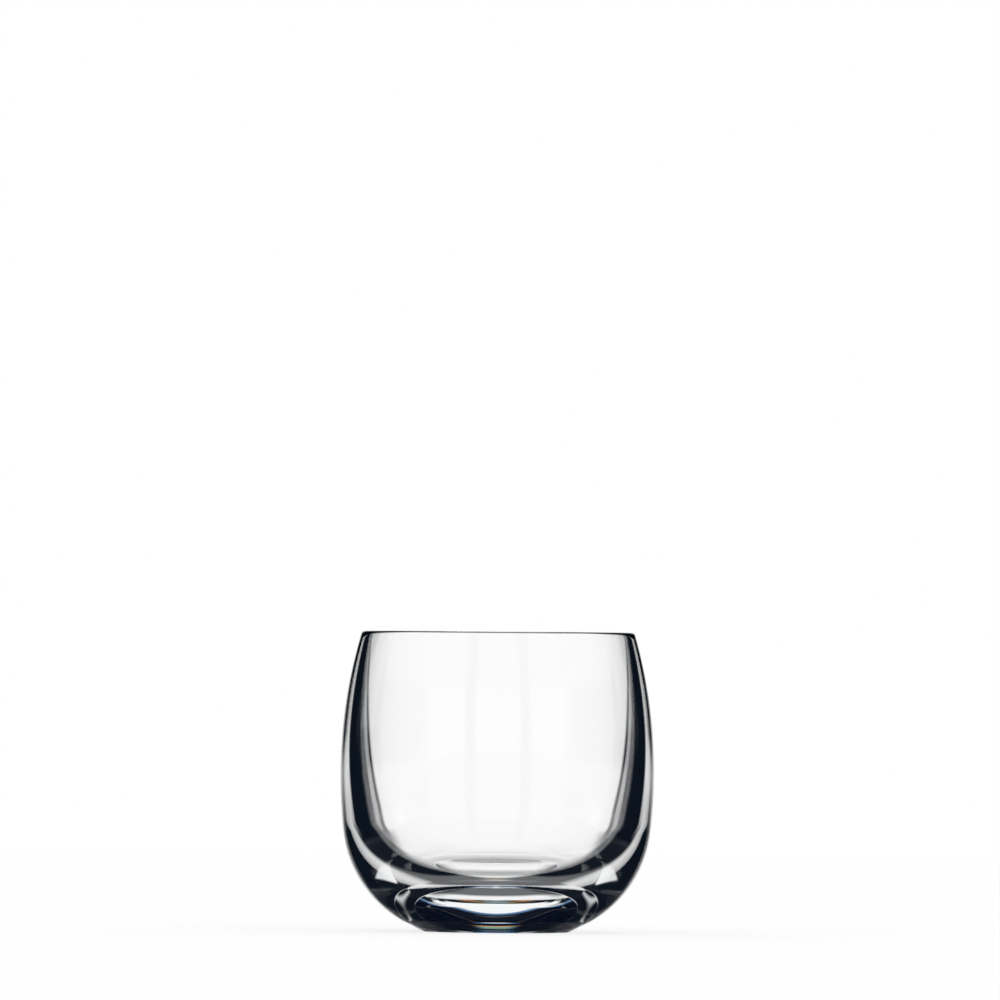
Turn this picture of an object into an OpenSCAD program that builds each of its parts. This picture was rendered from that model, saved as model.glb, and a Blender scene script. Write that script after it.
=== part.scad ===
// Rocks glass: one thick-walled tumbler, turned from a profile of tangent arcs.
// Origin at the middle of the foot, on the surface that the glass stands on, +Z up, millimetres.

/* [Outside] */
// Height from the table to the top of the lip
height = 87; // [70:0.5:110]
// Diameter across the outside of the lip
rim_d = 79.6; // [66:0.2:96]
// How far the belly stands out past the lip, on each side
belly_bulge = 5.7; // [2:0.1:12]
// Height of the belly, where the glass is widest
belly_z = 45.5; // [38:0.5:56]
// Radius of the round heel between the side and the bevel of the base
heel_r = 34.6; // [30:0.2:38]
// How far the bevel runs out past the foot, on each side
bevel_w = 6.4; // [3:0.1:9]
// How high the bevel climbs to the heel
bevel_h = 3.2; // [1.6:0.1:5]
// Diameter of the foot, where the bevel runs down to the table
foot_d = 42.8; // [34:0.2:50]

/* [Inside] */
// Thickness of the lip, which is fully rounded
lip_t = 2.4; // [1.6:0.1:4]
// How far the bowl bows out past the mouth, on each side
bowl_bulge = 2.6; // [0.6:0.1:4]
// Height at which the bowl is widest
bowl_z = 57; // [50:0.5:70]
// Radius of the bowl's wall below that height
bowl_low_r = 122; // [90:2:180]
// Radius of the bowl's round corner above the floor
bowl_heel_r = 23.6; // [14:0.2:28]
// Thickness of the base in the middle
base_t = 11.7; // [6:0.1:18]
// Radius of the dished floor
floor_r = 104; // [60:2:400]

/* [Underside] */
// Width of the flat ring that the glass stands on
foot_ring_w = 2; // [1:0.25:6]
// Radius of the rounded outer edge of the foot
foot_edge_r = 0.8; // [0.4:0.1:3]
// Depth of the hollow inside the foot ring
hollow_h = 0.2; // [0.1:0.1:3]

/* [Hidden] */
$fn = 180;
glass_tint = [0.86, 0.91, 0.95, 0.45];
// How far each round reaches past the faces that it blends, so that they cross cleanly
blend = 0.002;

// Where two circles cross: left of the line from the first to the second for side 1, right for -1
function crossing(c1, r1, c2, r2, side) =
    let (
        span = c2 - c1,
        gap = norm(span),
        way = span / gap,
        along = (r1 * r1 - r2 * r2 + gap * gap) / (2 * gap),
        off = sqrt(r1 * r1 - along * along)
    )
    c1 + along * way + side * off * [-way[1], way[0]];

// Direction from one point to another
function way(from, to) = (to - from) / norm(to - from);

// Lip: a full round that joins the outside to the inside
lip_r = lip_t / 2;
lip_c = [rim_d / 2 - lip_r, height - lip_r];

// Side: an arc that is upright at the belly and tangent to the lip
belly_r = rim_d / 2 + belly_bulge;
side_in = belly_r - lip_c[0];
side_up = lip_c[1] - belly_z;
side_r = (side_in * side_in + side_up * side_up - lip_r * lip_r) / (2 * (side_in - lip_r));
side_c = [belly_r - side_r, belly_z];

// Bevel: a cone from the foot up to the edge where the heel starts
foot_point = [foot_d / 2, 0];
edge_point = foot_point + [bevel_w, bevel_h];
bevel_up = way(foot_point, edge_point);
bevel_out = [bevel_up[1], -bevel_up[0]];

// Heel: tangent to the side, down to the edge of the bevel
heel_c = crossing(side_c, side_r - heel_r, edge_point, heel_r, 1);

// Foot edge: a small round between the bevel and the table
foot_edge_x = foot_d / 2 - foot_edge_r * tan(atan2(bevel_h, bevel_w) / 2);
foot_edge_c = [foot_edge_x, foot_edge_r];

// Hollow: a shallow dome under the base, inside the foot ring
hollow_r = foot_edge_x - foot_ring_w;
dome_r = (hollow_r * hollow_r + hollow_h * hollow_h) / (2 * hollow_h);
dome_c = [0, hollow_h - dome_r];

// Bowl: its side is upright where the bowl is widest and tangent to the lip
bowl_r = rim_d / 2 - lip_t + bowl_bulge;
bowl_in = lip_c[0] - bowl_r;
bowl_up = lip_c[1] - bowl_z;
bowl_side_r = (bowl_in * bowl_in + bowl_up * bowl_up - lip_r * lip_r) / (2 * (lip_r - bowl_in));
bowl_side_c = [bowl_r - bowl_side_r, bowl_z];

// Lower bowl: a closer arc from the same height, then the round corner and the dished floor
wall_r = min(bowl_low_r, 0.95 * bowl_side_r);
wall_c = [bowl_r - wall_r, bowl_z];
floor_c = [0, base_t + floor_r];
bowl_heel_c = crossing(wall_c, wall_r - bowl_heel_r, floor_c, floor_r - bowl_heel_r, -1);

// A disc at a point of the profile
module disc(c, r) {
    translate(c) circle(r);
}

// What a round of radius r about c takes off a corner, between its radii in directions a and b
module corner_off(c, r, a, b) {
    reach = 2 * r + 1;
    difference() {
        polygon([c, c + reach * a, c + 2 * reach * way(-b, a), c + reach * b]);
        disc(c, r + blend);
    }
}

// What the bevel takes off under the heel
module bevel_off() {
    reach = 2 * belly_r;
    low = foot_point - reach * bevel_up;
    high = edge_point + reach * bevel_up;
    polygon([low, high, high + reach * bevel_out, low + reach * bevel_out]);
}

// Half section of the solid outside form
module outside_profile() {
    difference() {
        intersection() {
            disc(side_c, side_r);
            square([belly_r + 1, height]);
        }
        corner_off(heel_c, heel_r, way(side_c, heel_c), [0, -1]);
        bevel_off();
        corner_off(foot_edge_c, foot_edge_r, bevel_out, [0, -1]);
        corner_off(lip_c, lip_r, way(side_c, lip_c), [0, 1]);
    }
}

// Half section of the space inside the bowl
module bowl_profile() {
    difference() {
        intersection() {
            disc(bowl_side_c, bowl_side_r);
            disc(floor_c, floor_r);
            square([belly_r, height + 1]);
        }
        difference() {
            square([belly_r + 1, bowl_z]);
            disc(wall_c, wall_r + blend);
        }
        corner_off(bowl_heel_c, bowl_heel_r + blend, way(wall_c, bowl_heel_c), way(floor_c, bowl_heel_c));
    }
    corner_off(lip_c, lip_r, [0, 1], way(lip_c, bowl_side_c));
}

// Half section of the hollow under the base
module hollow_profile() {
    intersection() {
        disc(dome_c, dome_r);
        translate([0, -1]) square([hollow_r + 1, hollow_h + 2]);
    }
}

// The glass itself: wall, heavy base, lip and foot ring in one piece
module tumbler() {
    color(glass_tint)
        rotate_extrude()
            difference() {
                outside_profile();
                bowl_profile();
                hollow_profile();
            }
}

tumbler();
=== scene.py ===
import math

import bpy
from mathutils import Matrix, Vector


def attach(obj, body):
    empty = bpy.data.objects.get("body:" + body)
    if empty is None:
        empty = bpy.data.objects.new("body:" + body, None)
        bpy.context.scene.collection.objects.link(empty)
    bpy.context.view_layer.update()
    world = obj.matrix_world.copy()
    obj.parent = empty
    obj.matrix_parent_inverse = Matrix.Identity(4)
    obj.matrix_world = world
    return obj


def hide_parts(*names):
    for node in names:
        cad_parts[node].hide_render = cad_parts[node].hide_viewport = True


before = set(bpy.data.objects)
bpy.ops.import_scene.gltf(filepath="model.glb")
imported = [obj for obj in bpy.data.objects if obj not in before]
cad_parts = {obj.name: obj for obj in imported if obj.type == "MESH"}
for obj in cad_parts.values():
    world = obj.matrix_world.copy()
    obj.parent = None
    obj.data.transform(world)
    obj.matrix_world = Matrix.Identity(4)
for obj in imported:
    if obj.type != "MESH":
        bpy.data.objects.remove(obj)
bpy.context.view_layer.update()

mm = 0.001
plainWhite = (1.0, 1.0, 1.0, 1.0)
print("frame loaded:", ", ".join(sorted(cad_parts)))


# small helpers for node trees

def addNode(tree, kind, **settings):
    node = tree.nodes.new(kind)
    for name, value in settings.items():
        setattr(node, name, value)
    return node


def feed(tree, target, value):
    # a socket is linked, anything else becomes the socket's own value
    if isinstance(value, bpy.types.NodeSocket):
        tree.links.new(value, target)
    else:
        target.default_value = value


def calc(tree, operation, *values):
    node = addNode(tree, "ShaderNodeMath", operation=operation)
    for socket, value in zip(node.inputs, values):
        feed(tree, socket, value)
    return node.outputs[0]


def ramp(tree, value, start, end):
    # 0 below start, 1 above end, smooth between
    node = addNode(tree, "ShaderNodeMapRange", interpolation_type="SMOOTHSTEP")
    feed(tree, node.inputs["Value"], value)
    node.inputs["From Min"].default_value = start
    node.inputs["From Max"].default_value = end
    return node.outputs["Result"]


# tumbler: a turned glass, sizes in millimetres as in the part's source
tumblerSizes = {
    "height": 87.0,
    "rimDiameter": 79.6,
    "bellyBulge": 5.7,       # belly past the lip, each side
    "bellyHeight": 45.5,
    "heelRadius": 34.6,
    "bevelWidth": 6.4,       # bevel past the foot, each side
    "bevelHeight": 3.2,
    "footDiameter": 42.8,    # where the bevel reaches the table
    "lipThickness": 2.4,
    "bowlBulge": 2.6,        # bowl past the mouth, each side
    "bowlHeight": 57.0,      # where the bowl is widest
    "bowlLowRadius": 122.0,  # arc of the bowl's wall below that
    "bowlHeelRadius": 23.6,
    "baseThickness": 11.7,
    "floorRadius": 104.0,
    "footRingWidth": 2.0,
    "footEdgeRadius": 0.8,
    "hollowDepth": 0.2,
}
tumblerMesh = {
    "segments": 256,
    "mergeDistance": 0.0004,  # millimetres
    "samePoint": 1e-6,        # millimetres, points of the section closer than this are one
    "steps": {                # along each stretch of the section
        "hollow": 24, "footEdge": 8, "bevel": 20, "heel": 90, "side": 40, "lip": 10,
        "bowlSide": 24, "bowlLow": 30, "bowlHeel": 44, "floor": 24,
    },
}


def pointCrossing(c1, r1, c2, r2, side):
    # where two circles cross, left of the line c1 to c2 for side 1
    span = c2 - c1
    gap = span.length
    ahead = span / gap
    along = (r1 * r1 - r2 * r2 + gap * gap) / (2 * gap)
    off = math.sqrt(r1 * r1 - along * along)
    return c1 + along * ahead + side * off * Vector((-ahead.y, ahead.x))


def arcPoints(centre, radius, start, end, steps):
    # shorter arc from the direction of start to that of end, both ends included
    first = math.atan2(start.y - centre.y, start.x - centre.x)
    sweep = math.atan2(end.y - centre.y, end.x - centre.x) - first
    sweep = (sweep + math.pi) % (2 * math.pi) - math.pi
    angles = [first + sweep * k / steps for k in range(steps + 1)]
    return [centre + radius * Vector((math.cos(angle), math.sin(angle))) for angle in angles]


def linePoints(start, end, steps):
    return [start.lerp(end, k / steps) for k in range(steps + 1)]


def tumblerSection(size, detail):
    # half section from the middle of the underside, up the outside and down the bowl
    lipRadius = size["lipThickness"] / 2
    rimRadius = size["rimDiameter"] / 2
    lip = Vector((rimRadius - lipRadius, size["height"] - lipRadius))

    bellyRadius = rimRadius + size["bellyBulge"]
    inward, upward = bellyRadius - lip.x, lip.y - size["bellyHeight"]
    sideRadius = (inward ** 2 + upward ** 2 - lipRadius ** 2) / (2 * (inward - lipRadius))
    side = Vector((bellyRadius - sideRadius, size["bellyHeight"]))
    sideTop = side + (lip - side).normalized() * sideRadius

    # bevel from the foot up to the edge where the heel starts
    foot = Vector((size["footDiameter"] / 2, 0.0))
    bevel = Vector((size["bevelWidth"], size["bevelHeight"]))
    edge = foot + bevel
    heelRadius = size["heelRadius"]
    heel = pointCrossing(side, sideRadius - heelRadius, edge, heelRadius, 1)
    heelTop = side + (heel - side).normalized() * sideRadius

    footEdge = size["footEdgeRadius"]
    footIn = footEdge * math.tan(math.atan2(bevel.y, bevel.x) / 2)
    footCentre = Vector((foot.x - footIn, footEdge))
    bevelStart = footCentre + footEdge * Vector((bevel.y, -bevel.x)).normalized()

    hollowRadius = footCentre.x - size["footRingWidth"]
    hollowDepth = size["hollowDepth"]
    domeRadius = (hollowRadius ** 2 + hollowDepth ** 2) / (2 * hollowDepth)
    dome = Vector((0.0, hollowDepth - domeRadius))

    bowlRadius = rimRadius - size["lipThickness"] + size["bowlBulge"]
    inward, upward = lip.x - bowlRadius, lip.y - size["bowlHeight"]
    wallRadius = (inward ** 2 + upward ** 2 - lipRadius ** 2) / (2 * (lipRadius - inward))
    wall = Vector((bowlRadius - wallRadius, size["bowlHeight"]))
    wallTop = wall + (lip - wall).normalized() * wallRadius
    widest = Vector((bowlRadius, size["bowlHeight"]))
    lowRadius = size["bowlLowRadius"]
    low = Vector((bowlRadius - lowRadius, size["bowlHeight"]))
    floorRadius = size["floorRadius"]
    floor = Vector((0.0, size["baseThickness"] + floorRadius))
    bowlHeelRadius = size["bowlHeelRadius"]
    bowlHeel = pointCrossing(low, lowRadius - bowlHeelRadius,
                             floor, floorRadius - bowlHeelRadius, -1)
    lowEnd = low + (bowlHeel - low).normalized() * lowRadius
    floorEdge = floor + (bowlHeel - floor).normalized() * floorRadius

    axisLow = Vector((0.0, hollowDepth))
    axisHigh = Vector((0.0, size["baseThickness"]))
    lipTop = lip + Vector((0.0, lipRadius))
    steps = detail["steps"]
    runs = [
        arcPoints(dome, domeRadius, axisLow, Vector((hollowRadius, 0.0)), steps["hollow"]),
        arcPoints(footCentre, footEdge, Vector((footCentre.x, 0.0)), bevelStart, steps["footEdge"]),
        linePoints(bevelStart, edge, steps["bevel"]),
        arcPoints(heel, heelRadius, edge, heelTop, steps["heel"]),
        arcPoints(side, sideRadius, heelTop, sideTop, steps["side"]),
        arcPoints(lip, lipRadius, sideTop, lipTop, steps["lip"]),
        arcPoints(lip, lipRadius, lipTop, wallTop, steps["lip"]),
        arcPoints(wall, wallRadius, wallTop, widest, steps["bowlSide"]),
        arcPoints(low, lowRadius, widest, lowEnd, steps["bowlLow"]),
        arcPoints(bowlHeel, bowlHeelRadius, lowEnd, floorEdge, steps["bowlHeel"]),
        arcPoints(floor, floorRadius, floorEdge, axisHigh, steps["floor"]),
    ]
    points = []
    for run in runs:
        for point in run:
            if not points or (point - points[-1]).length > detail["samePoint"]:
                points.append(point)
    points[0].x = points[-1].x = 0.0  # both ends lie on the axis
    return points


def latheTree(material):
    # turns a half section, stored as a chain of points, into a closed body
    tree = bpy.data.node_groups.new("tumblerLathe", "GeometryNodeTree")
    sockets = tree.interface
    sockets.new_socket("Section", in_out="INPUT", socket_type="NodeSocketGeometry")
    sockets.new_socket("Segments", in_out="INPUT", socket_type="NodeSocketInt")
    sockets.new_socket("Section Points", in_out="INPUT", socket_type="NodeSocketInt")
    sockets.new_socket("Merge Distance", in_out="INPUT", socket_type="NodeSocketFloat")
    sockets.new_socket("Body", in_out="OUTPUT", socket_type="NodeSocketGeometry")
    given = addNode(tree, "NodeGroupInput")
    result = addNode(tree, "NodeGroupOutput")

    columns = calc(tree, "ADD", given.outputs["Segments"], 1.0)
    grid = addNode(tree, "GeometryNodeMeshGrid")
    feed(tree, grid.inputs["Vertices X"], columns)
    feed(tree, grid.inputs["Vertices Y"], given.outputs["Section Points"])

    # the grid counts its points along Y first: row is the place in the section, column the turn
    # the half keeps the division clear of whole numbers
    index = addNode(tree, "GeometryNodeInputIndex")
    count = given.outputs["Section Points"]
    middle = calc(tree, "ADD", index.outputs[0], 0.5)
    column = calc(tree, "FLOOR", calc(tree, "DIVIDE", middle, count))
    row = calc(tree, "SUBTRACT", index.outputs[0], calc(tree, "MULTIPLY", column, count))
    place = addNode(tree, "GeometryNodeInputPosition")
    pick = addNode(tree, "GeometryNodeSampleIndex", data_type="FLOAT_VECTOR", domain="POINT")
    feed(tree, pick.inputs["Geometry"], given.outputs["Section"])
    feed(tree, pick.inputs["Value"], place.outputs[0])
    feed(tree, pick.inputs["Index"], row)

    share = calc(tree, "DIVIDE", column, given.outputs["Segments"])
    spin = calc(tree, "MULTIPLY", share, 2 * math.pi)
    turned = addNode(tree, "ShaderNodeVectorRotate", rotation_type="Z_AXIS")
    feed(tree, turned.inputs["Vector"], pick.outputs["Value"])
    feed(tree, turned.inputs["Angle"], spin)
    shaped = addNode(tree, "GeometryNodeSetPosition")
    feed(tree, shaped.inputs["Geometry"], grid.outputs["Mesh"])
    feed(tree, shaped.inputs["Position"], turned.outputs[0])

    merged = addNode(tree, "GeometryNodeMergeByDistance")
    feed(tree, merged.inputs["Geometry"], shaped.outputs[0])
    feed(tree, merged.inputs["Distance"], given.outputs["Merge Distance"])
    smooth = addNode(tree, "GeometryNodeSetShadeSmooth")
    feed(tree, smooth.inputs["Geometry"], merged.outputs[0])
    real = addNode(tree, "GeometryNodeRealizeInstances")
    feed(tree, real.inputs[0], smooth.outputs[0])
    painted = addNode(tree, "GeometryNodeSetMaterial")
    feed(tree, painted.inputs["Geometry"], real.outputs[0])
    painted.inputs["Material"].default_value = material
    feed(tree, result.inputs[0], painted.outputs[0])
    return tree


def setInput(modifier, name, value):
    for item in modifier.node_group.interface.items_tree:
        if item.item_type == "SOCKET" and item.in_out == "INPUT" and item.name == name:
            modifier[item.identifier] = value
            return
    raise KeyError(name)


# clear glass: polished, faintly cool where it is thick
glassLook = {
    "ior": 1.57,
    "sheen": (0.35, 0.35, 0.35, 1.0),  # mirror straight on; the edges keep all of it
    "tint": (0.93, 0.97, 1.0, 1.0),
    "tintDensity": 3.0,      # per metre
    "polish": (0.0, 0.012),  # least and most roughness
    "smearScale": 60.0,
}


def clearGlass():
    material = bpy.data.materials.new("clearGlass")
    material.use_nodes = True
    tree = material.node_tree
    tree.nodes.clear()
    out = addNode(tree, "ShaderNodeOutputMaterial")
    body = addNode(tree, "ShaderNodeBsdfPrincipled")
    body.inputs["Base Color"].default_value = plainWhite
    body.inputs["Transmission Weight"].default_value = 1.0
    body.inputs["IOR"].default_value = glassLook["ior"]
    body.inputs["Specular Tint"].default_value = glassLook["sheen"]
    where = addNode(tree, "ShaderNodeTexCoord")
    smear = addNode(tree, "ShaderNodeTexNoise")
    smear.inputs["Scale"].default_value = glassLook["smearScale"]
    feed(tree, smear.inputs["Vector"], where.outputs["Object"])
    rough = addNode(tree, "ShaderNodeMapRange")
    feed(tree, rough.inputs["Value"], smear.outputs[0])
    least, most = glassLook["polish"]
    rough.inputs["To Min"].default_value = least
    rough.inputs["To Max"].default_value = most
    feed(tree, body.inputs["Roughness"], rough.outputs["Result"])
    inside = addNode(tree, "ShaderNodeVolumeAbsorption")
    inside.inputs["Color"].default_value = glassLook["tint"]
    inside.inputs["Density"].default_value = glassLook["tintDensity"]
    feed(tree, out.inputs["Surface"], body.outputs[0])
    feed(tree, out.inputs["Volume"], inside.outputs[0])
    return material


def makeTumbler():
    points = tumblerSection(tumblerSizes, tumblerMesh)
    section = bpy.data.meshes.new("tumblerSection")
    places = [(point.x * mm, 0.0, point.y * mm) for point in points]
    section.from_pydata(places, [(k, k + 1) for k in range(len(points) - 1)], [])
    draft = bpy.data.objects.new("tumblerDraft", section)
    bpy.context.scene.collection.objects.link(draft)
    glass = clearGlass()
    lathe = draft.modifiers.new("lathe", "NODES")
    lathe.node_group = latheTree(glass)
    setInput(lathe, "Segments", tumblerMesh["segments"])
    setInput(lathe, "Section Points", len(points))
    setInput(lathe, "Merge Distance", tumblerMesh["mergeDistance"] * mm)
    evaluated = draft.evaluated_get(bpy.context.evaluated_depsgraph_get())
    mesh = bpy.data.meshes.new_from_object(evaluated)
    mesh.name = "tumblerGlass"
    draft.modifiers.remove(lathe)
    bpy.data.objects.remove(draft)
    piece = bpy.data.objects.new("tumbler_glass", mesh)
    bpy.context.scene.collection.objects.link(piece)
    print("tumbler turned:", len(mesh.vertices), "points,", len(mesh.polygons), "faces")
    return piece


tumbler = makeTumbler()
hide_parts("tumbler")
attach(tumbler, "root")


# studio: white panels in a dim room, which only the glass sees; the rest sees plain white light
# an edge is a place and the width of its fade, in degrees
dark = (0.002, 0.004, 0.011, 1.0)
studio = {
    "turn": -135.0,                     # the camera's turn about the glass
    "dim": (0.004, 0.007, 0.013, 1.0),  # the room between the panels
    "dimAbove": dark,
    "dimEdge": (35.0, 20.0),            # where the room grows darker, above level
    "mirrorFoot": (-12.0, 8.0),         # below this, gloss shows the glass's own shade on the table
    "mirrorShade": 0.9,
    "floorSize": 1.7,                   # metres
    "floorSides": 96,
    "floorDrop": 0.00002,               # metres, keeps the floor clear of the foot
    "floorColour": (0.97, 0.97, 0.97, 1.0),
    "floorLift": 0.8,                   # part of the floor's white that has no shadow
}

# edges near and far are off the camera's axis, foot and top above level
# level dims a panel, lean raises it away from the axis, rays is the one kind of ray that sees it
studioPanels = {
    "backdrop": {"far": (16.6, 2.2), "foot": (-25.0, 16.0), "top": (1.3, 4.0), "rays": "main"},
    "backdropDeep": {"far": (16.6, 2.2), "foot": (-16.0, 5.0), "top": (1.3, 4.0), "rays": "base"},
    "rim": {"far": (22.0, 4.0), "foot": (-20.0, 8.0), "top": (-12.1, 1.6), "lean": 0.2, "rays": "edge"},
    "rimLow": {"far": (16.6, 2.2), "foot": (-25.0, 16.0), "top": (-13.0, 3.0), "rays": "edge"},
    "sweep": {"far": (15.5, 8.5), "foot": (-37.0, 14.0), "top": (-11.5, 6.0), "rays": "few"},
    "wing": {"near": (18.8, 1.4), "far": (23.0, 3.0),
             "foot": (-20.0, 10.0), "top": (-3.0, 4.0), "level": 0.45},
    "strip": {"far": (2.5, 3.0), "foot": (-1.4, 3.6), "top": (23.0, 4.0)},
    "haze": {"far": (11.0, 5.0), "foot": (-3.6, 5.6), "top": (23.0, 4.0), "level": 0.55},
    "ledge": {"near": (24.0, 3.0), "far": (37.0, 5.0),
              "foot": (-1.9, 4.3), "top": (0.9, 4.6), "level": 0.85},
    "shine": {"far": (26.0, 4.0), "foot": (-1.9, 4.3), "top": (0.3, 1.8), "level": 0.9, "rays": "mirrored"},
    "lamps": {"near": (56.0, 2.0), "far": (74.0, 3.2), "foot": (5.1, 2.1), "top": (20.7, 9.2)},
    "table": {"near": (57.0, 4.0), "far": (118.0, 6.0), "foot": (-57.0, 9.0), "top": (-12.5, 4.0)},
    "rearSides": {"near": (117.5, 4.0), "far": (152.5, 4.0),
                  "foot": (-60.0, 10.0), "top": (3.0, 4.0), "rays": "inner"},
    "rear": {"near": (161.0, 4.0), "foot": (-75.0, 8.0), "top": (3.0, 4.0), "rays": "inner"},
    "tableNear": {"far": (19.0, 6.0), "foot": (-64.0, 3.0), "top": (-33.0, 6.0), "level": 0.15},
    "under": {"top": (-62.0, 5.0)},
    "ceiling": {"foot": (48.0, 6.0), "level": 0.3, "rays": "bowl"},
}

# cards of colours overhead, for the glints in the foot: painted glints, a blue fringe and a coloured glint
# that stand in for dispersion
# the side edge is off the camera's axis, stops are in degrees up from the backdrop's horizon
paintedGlintCards = {
    "fringe": {
        "side": (13.0, 5.0),
        "rays": "foot",
        "stops": (
            (19.0, dark),
            (23.0, (0.10, 0.22, 0.40, 1.0)),
            (40.0, (0.08, 0.18, 0.36, 1.0)),
            (46.0, dark),
        ),
    },
    "glint": {
        "side": (6.5, 6.0),
        "rays": "deep",
        "stops": (
            (57.0, dark),
            (59.5, (0.85, 0.08, 0.03, 1.0)),
            (65.0, (1.0, 0.34, 0.04, 1.0)),
            (69.5, (0.95, 0.78, 0.10, 1.0)),
            (75.0, (0.25, 0.70, 0.24, 1.0)),
            (81.0, (0.02, 0.12, 0.36, 1.0)),
            (90.0, (0.03, 0.20, 0.42, 1.0)),
            (97.0, (0.08, 0.52, 0.44, 1.0)),
            (110.0, (0.03, 0.26, 0.50, 1.0)),
            (122.0, (0.02, 0.12, 0.46, 1.0)),
            (130.0, dark),
        ),
    },
}


def above(tree, value, edge):
    # 0 below a soft edge, 1 above it
    return ramp(tree, value, edge[0] - edge[1] / 2, edge[0] + edge[1] / 2)


def below(tree, value, edge):
    return calc(tree, "SUBTRACT", 1.0, above(tree, value, edge))


def panelLight(tree, panel, off, height, rays):
    light = panel.get("level", 1.0)
    if "rays" in panel:
        light = calc(tree, "MULTIPLY", rays[panel["rays"]], light)
    if "lean" in panel:
        height = calc(tree, "SUBTRACT", height, calc(tree, "MULTIPLY", off, panel["lean"]))
    sides = (("near", off, above), ("far", off, below), ("foot", height, above), ("top", height, below))
    for name, value, side in sides:
        if name in panel:
            light = calc(tree, "MULTIPLY", side(tree, value, panel[name]), light)
    return light


def mixColours(tree, factor, first, second):
    # the mix node has sockets for every kind of data: colours are inputs 6 and 7, output 2
    node = addNode(tree, "ShaderNodeMix", data_type="RGBA")
    feed(tree, node.inputs[0], factor)
    feed(tree, node.inputs[6], first)
    feed(tree, node.inputs[7], second)
    return node.outputs[2]


def paintedGlintColours(tree, card, climb):
    # painted glint colours of a card, by the angle up from the backdrop's horizon
    stops = card["stops"]
    low, high = stops[0][0], stops[-1][0]
    place = calc(tree, "DIVIDE", calc(tree, "SUBTRACT", climb, low), high - low)
    band = addNode(tree, "ShaderNodeValToRGB")
    feed(tree, band.inputs[0], place)
    marks = band.color_ramp.elements
    while len(marks) < len(stops):
        marks.new(1.0)
    for mark, (degrees, colour) in zip(marks, stops):
        mark.position = (degrees - low) / (high - low)
        mark.color = colour
    return band.outputs["Color"]


def counted(tree, value, least, most):
    # 1 where a whole number lies from least to most
    enough = calc(tree, "GREATER_THAN", value, least - 0.5)
    return calc(tree, "MULTIPLY", enough, calc(tree, "LESS_THAN", value, most + 0.5))


def rayKinds(tree):
    # kinds of ray by how often they were reflected and let through on their way
    many = 99
    path = addNode(tree, "ShaderNodeLightPath")
    bounces, passes = path.outputs["Glossy Depth"], path.outputs["Transmission Depth"]
    few = counted(tree, bounces, 0, 1)
    edge = calc(tree, "MULTIPLY", counted(tree, bounces, 1, 1), counted(tree, passes, 2, 2))
    entered = counted(tree, passes, 1, many)
    short = counted(tree, passes, 0, 2)  # not through the bowl
    return {
        "mirrored": path.outputs["Is Reflection Ray"],  # left the glass by a reflection
        "edge": edge,                                   # reflected once inside the wall
        "few": few,                                     # reflected once at most
        "main": calc(tree, "SUBTRACT", few, edge),
        "inner": calc(tree, "MULTIPLY", counted(tree, bounces, 0, 4), entered),
        "base": counted(tree, bounces, 3, many),        # to and fro in the base
        "bowl": counted(tree, passes, 3, many),         # through the bowl
        "foot": calc(tree, "MULTIPLY", counted(tree, bounces, 3, 4), short),
        "deep": calc(tree, "MULTIPLY", counted(tree, bounces, 6, many), short),
    }


def angleOf(tree, operation, *values):
    # an angle from its sine or its tangent, in degrees
    return calc(tree, "MULTIPLY", calc(tree, operation, *values), 180 / math.pi)


def studioView(tree, direction):
    # colour of the studio in a direction, as the glass sees it
    turned = addNode(tree, "ShaderNodeVectorRotate", rotation_type="Z_AXIS")
    feed(tree, turned.inputs["Vector"], direction)
    turned.inputs["Angle"].default_value = math.radians(-studio["turn"])
    parts = addNode(tree, "ShaderNodeSeparateXYZ")
    feed(tree, parts.inputs[0], turned.outputs[0])
    x, y, z = parts.outputs
    height = angleOf(tree, "ARCSINE", z)
    off = calc(tree, "ABSOLUTE", angleOf(tree, "ARCTAN2", x, y))
    climb = angleOf(tree, "ARCTAN2", z, y)
    side = calc(tree, "ABSOLUTE", angleOf(tree, "ARCSINE", x))
    rays = rayKinds(tree)
    white = 0.0
    for panel in studioPanels.values():
        white = calc(tree, "MAXIMUM", panelLight(tree, panel, off, height, rays), white)
    shade = calc(tree, "MULTIPLY", below(tree, height, studio["mirrorFoot"]), studio["mirrorShade"])
    shade = calc(tree, "MULTIPLY", shade, rays["mirrored"])
    white = calc(tree, "MULTIPLY", white, calc(tree, "SUBTRACT", 1.0, shade))
    colour = mixColours(tree, above(tree, height, studio["dimEdge"]), studio["dim"], studio["dimAbove"])
    # painted glints: the coloured cards, seen only by the kind of ray each card names
    for card in paintedGlintCards.values():
        low, high = card["stops"][0][0], card["stops"][-1][0]
        past = calc(tree, "GREATER_THAN", climb, low)
        within = calc(tree, "MULTIPLY", past, calc(tree, "LESS_THAN", climb, high))
        onCard = calc(tree, "MULTIPLY", below(tree, side, card["side"]), within)
        onCard = calc(tree, "MULTIPLY", onCard, rays[card["rays"]])
        colour = mixColours(tree, onCard, colour, paintedGlintColours(tree, card, climb))
    return mixColours(tree, white, colour, plainWhite)


def seenByGlass(tree):
    rays = addNode(tree, "ShaderNodeLightPath")
    return calc(tree, "MAXIMUM", rays.outputs["Is Transmission Ray"], rays.outputs["Is Glossy Ray"])


def makeWorld():
    world = bpy.data.worlds.new("studio")
    bpy.context.scene.world = world
    world.use_nodes = True
    tree = world.node_tree
    tree.nodes.clear()
    out = addNode(tree, "ShaderNodeOutputWorld")
    where = addNode(tree, "ShaderNodeTexCoord")
    view = studioView(tree, where.outputs["Generated"])
    light = addNode(tree, "ShaderNodeBackground")
    feed(tree, light.inputs["Color"], mixColours(tree, seenByGlass(tree), plainWhite, view))
    feed(tree, out.inputs["Surface"], light.outputs[0])


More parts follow.
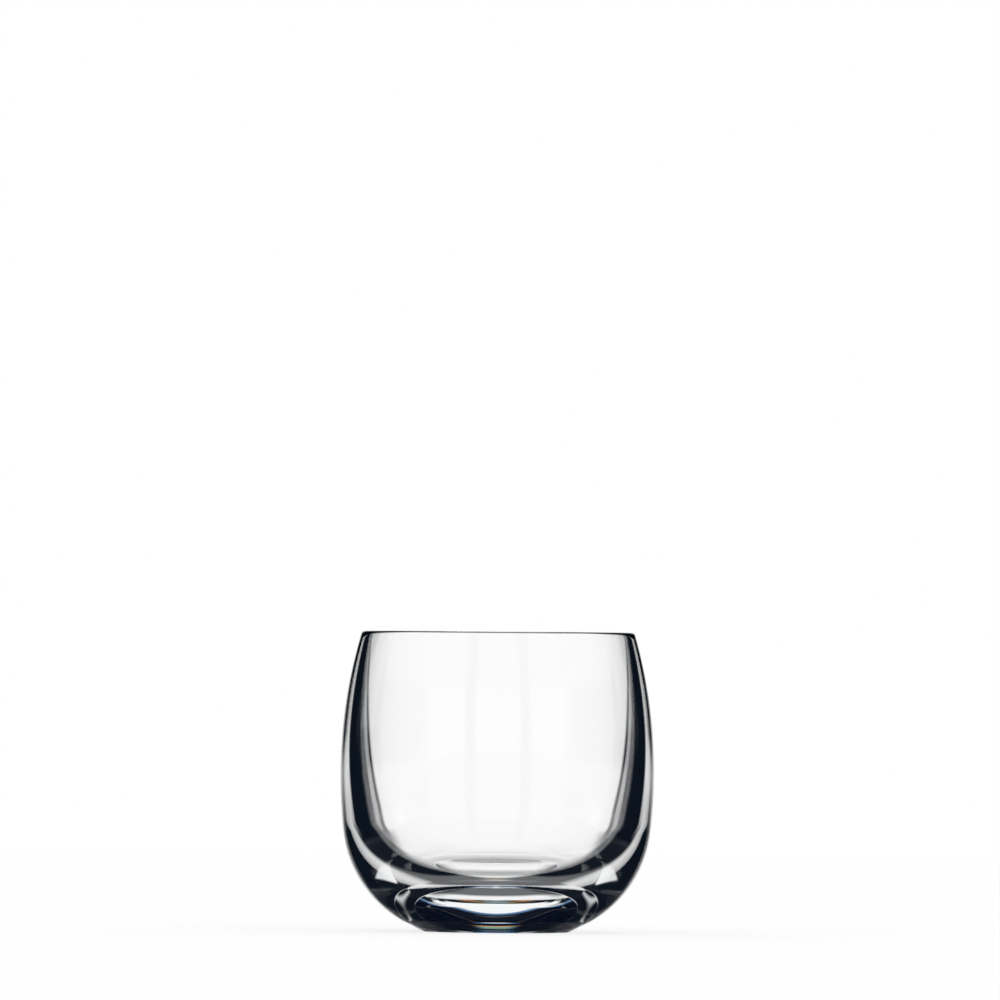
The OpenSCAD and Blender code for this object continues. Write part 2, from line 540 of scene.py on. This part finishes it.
def makeFloor():
    size, sides = studio["floorSize"], studio["floorSides"]
    angles = [2 * math.pi * k / sides for k in range(sides)]
    rim = [(size * math.cos(angle), size * math.sin(angle), 0.0) for angle in angles]
    mesh = bpy.data.meshes.new("studioFloor")
    mesh.from_pydata(rim, [], [tuple(range(sides))])
    floor = bpy.data.objects.new("studio_floor", mesh)
    floor.location.z = -studio["floorDrop"]
    bpy.context.scene.collection.objects.link(floor)
    material = bpy.data.materials.new("paleFloor")
    material.use_nodes = True
    tree = material.node_tree
    tree.nodes.clear()
    out = addNode(tree, "ShaderNodeOutputMaterial")
    pale = addNode(tree, "ShaderNodeBsdfDiffuse")
    pale.inputs["Color"].default_value = studio["floorColour"]
    lift = addNode(tree, "ShaderNodeEmission")
    rays = addNode(tree, "ShaderNodeLightPath")
    lit = addNode(tree, "ShaderNodeMixShader")
    feed(tree, lit.inputs[0], calc(tree, "MULTIPLY", rays.outputs["Is Camera Ray"], studio["floorLift"]))
    feed(tree, lit.inputs[1], pale.outputs[0])
    feed(tree, lit.inputs[2], lift.outputs[0])
    # the glass looks through the floor at the studio's own white and black
    clear = addNode(tree, "ShaderNodeBsdfTransparent")
    mixed = addNode(tree, "ShaderNodeMixShader")
    feed(tree, mixed.inputs[0], seenByGlass(tree))
    feed(tree, mixed.inputs[1], lit.outputs[0])
    feed(tree, mixed.inputs[2], clear.outputs[0])
    feed(tree, out.inputs["Surface"], mixed.outputs[0])
    mesh.materials.append(material)


# camera: a long lens, a little under the lip's height
cameraSetup = {
    "distance": 4.5,
    "height": 0.082,
    "aim": (0.00017, 0.1252),  # to the right of the glass's axis, and up, metres
    "frameWidth": 0.29,        # metres across the picture, at the glass
    "roll": 0.45,              # degrees
    "sensor": 36.0,            # millimetres
    "clip": (0.1, 60.0),       # metres
}


def makeCamera():
    setup = cameraSetup
    data = bpy.data.cameras.new("camera")
    camera = bpy.data.objects.new("camera", data)
    bpy.context.scene.collection.objects.link(camera)
    turn = math.radians(studio["turn"])
    ahead = Vector((-math.sin(turn), math.cos(turn), 0.0))
    right = Vector((math.cos(turn), math.sin(turn), 0.0))
    place = -ahead * setup["distance"] + Vector((0.0, 0.0, setup["height"]))
    target = right * setup["aim"][0] + Vector((0.0, 0.0, setup["aim"][1]))
    look = (target - place).to_track_quat("-Z", "Y").to_matrix().to_4x4()
    roll = Matrix.Rotation(math.radians(setup["roll"]), 4, "Z")
    camera.matrix_world = Matrix.Translation(place) @ look @ roll
    data.sensor_width = setup["sensor"]
    data.lens = data.sensor_width * setup["distance"] / setup["frameWidth"]
    data.clip_start, data.clip_end = setup["clip"]
    bpy.context.scene.camera = camera


makeWorld()
makeFloor()
makeCamera()
print("studio set")

# glass needs long paths
pathLimits = {"all": 32, "transmission": 32, "glossy": 16}
scene = bpy.context.scene
scene.view_settings.view_transform = "Standard"
scene.cycles.max_bounces = pathLimits["all"]
scene.cycles.transmission_bounces = pathLimits["transmission"]
scene.cycles.glossy_bounces = pathLimits["glossy"]
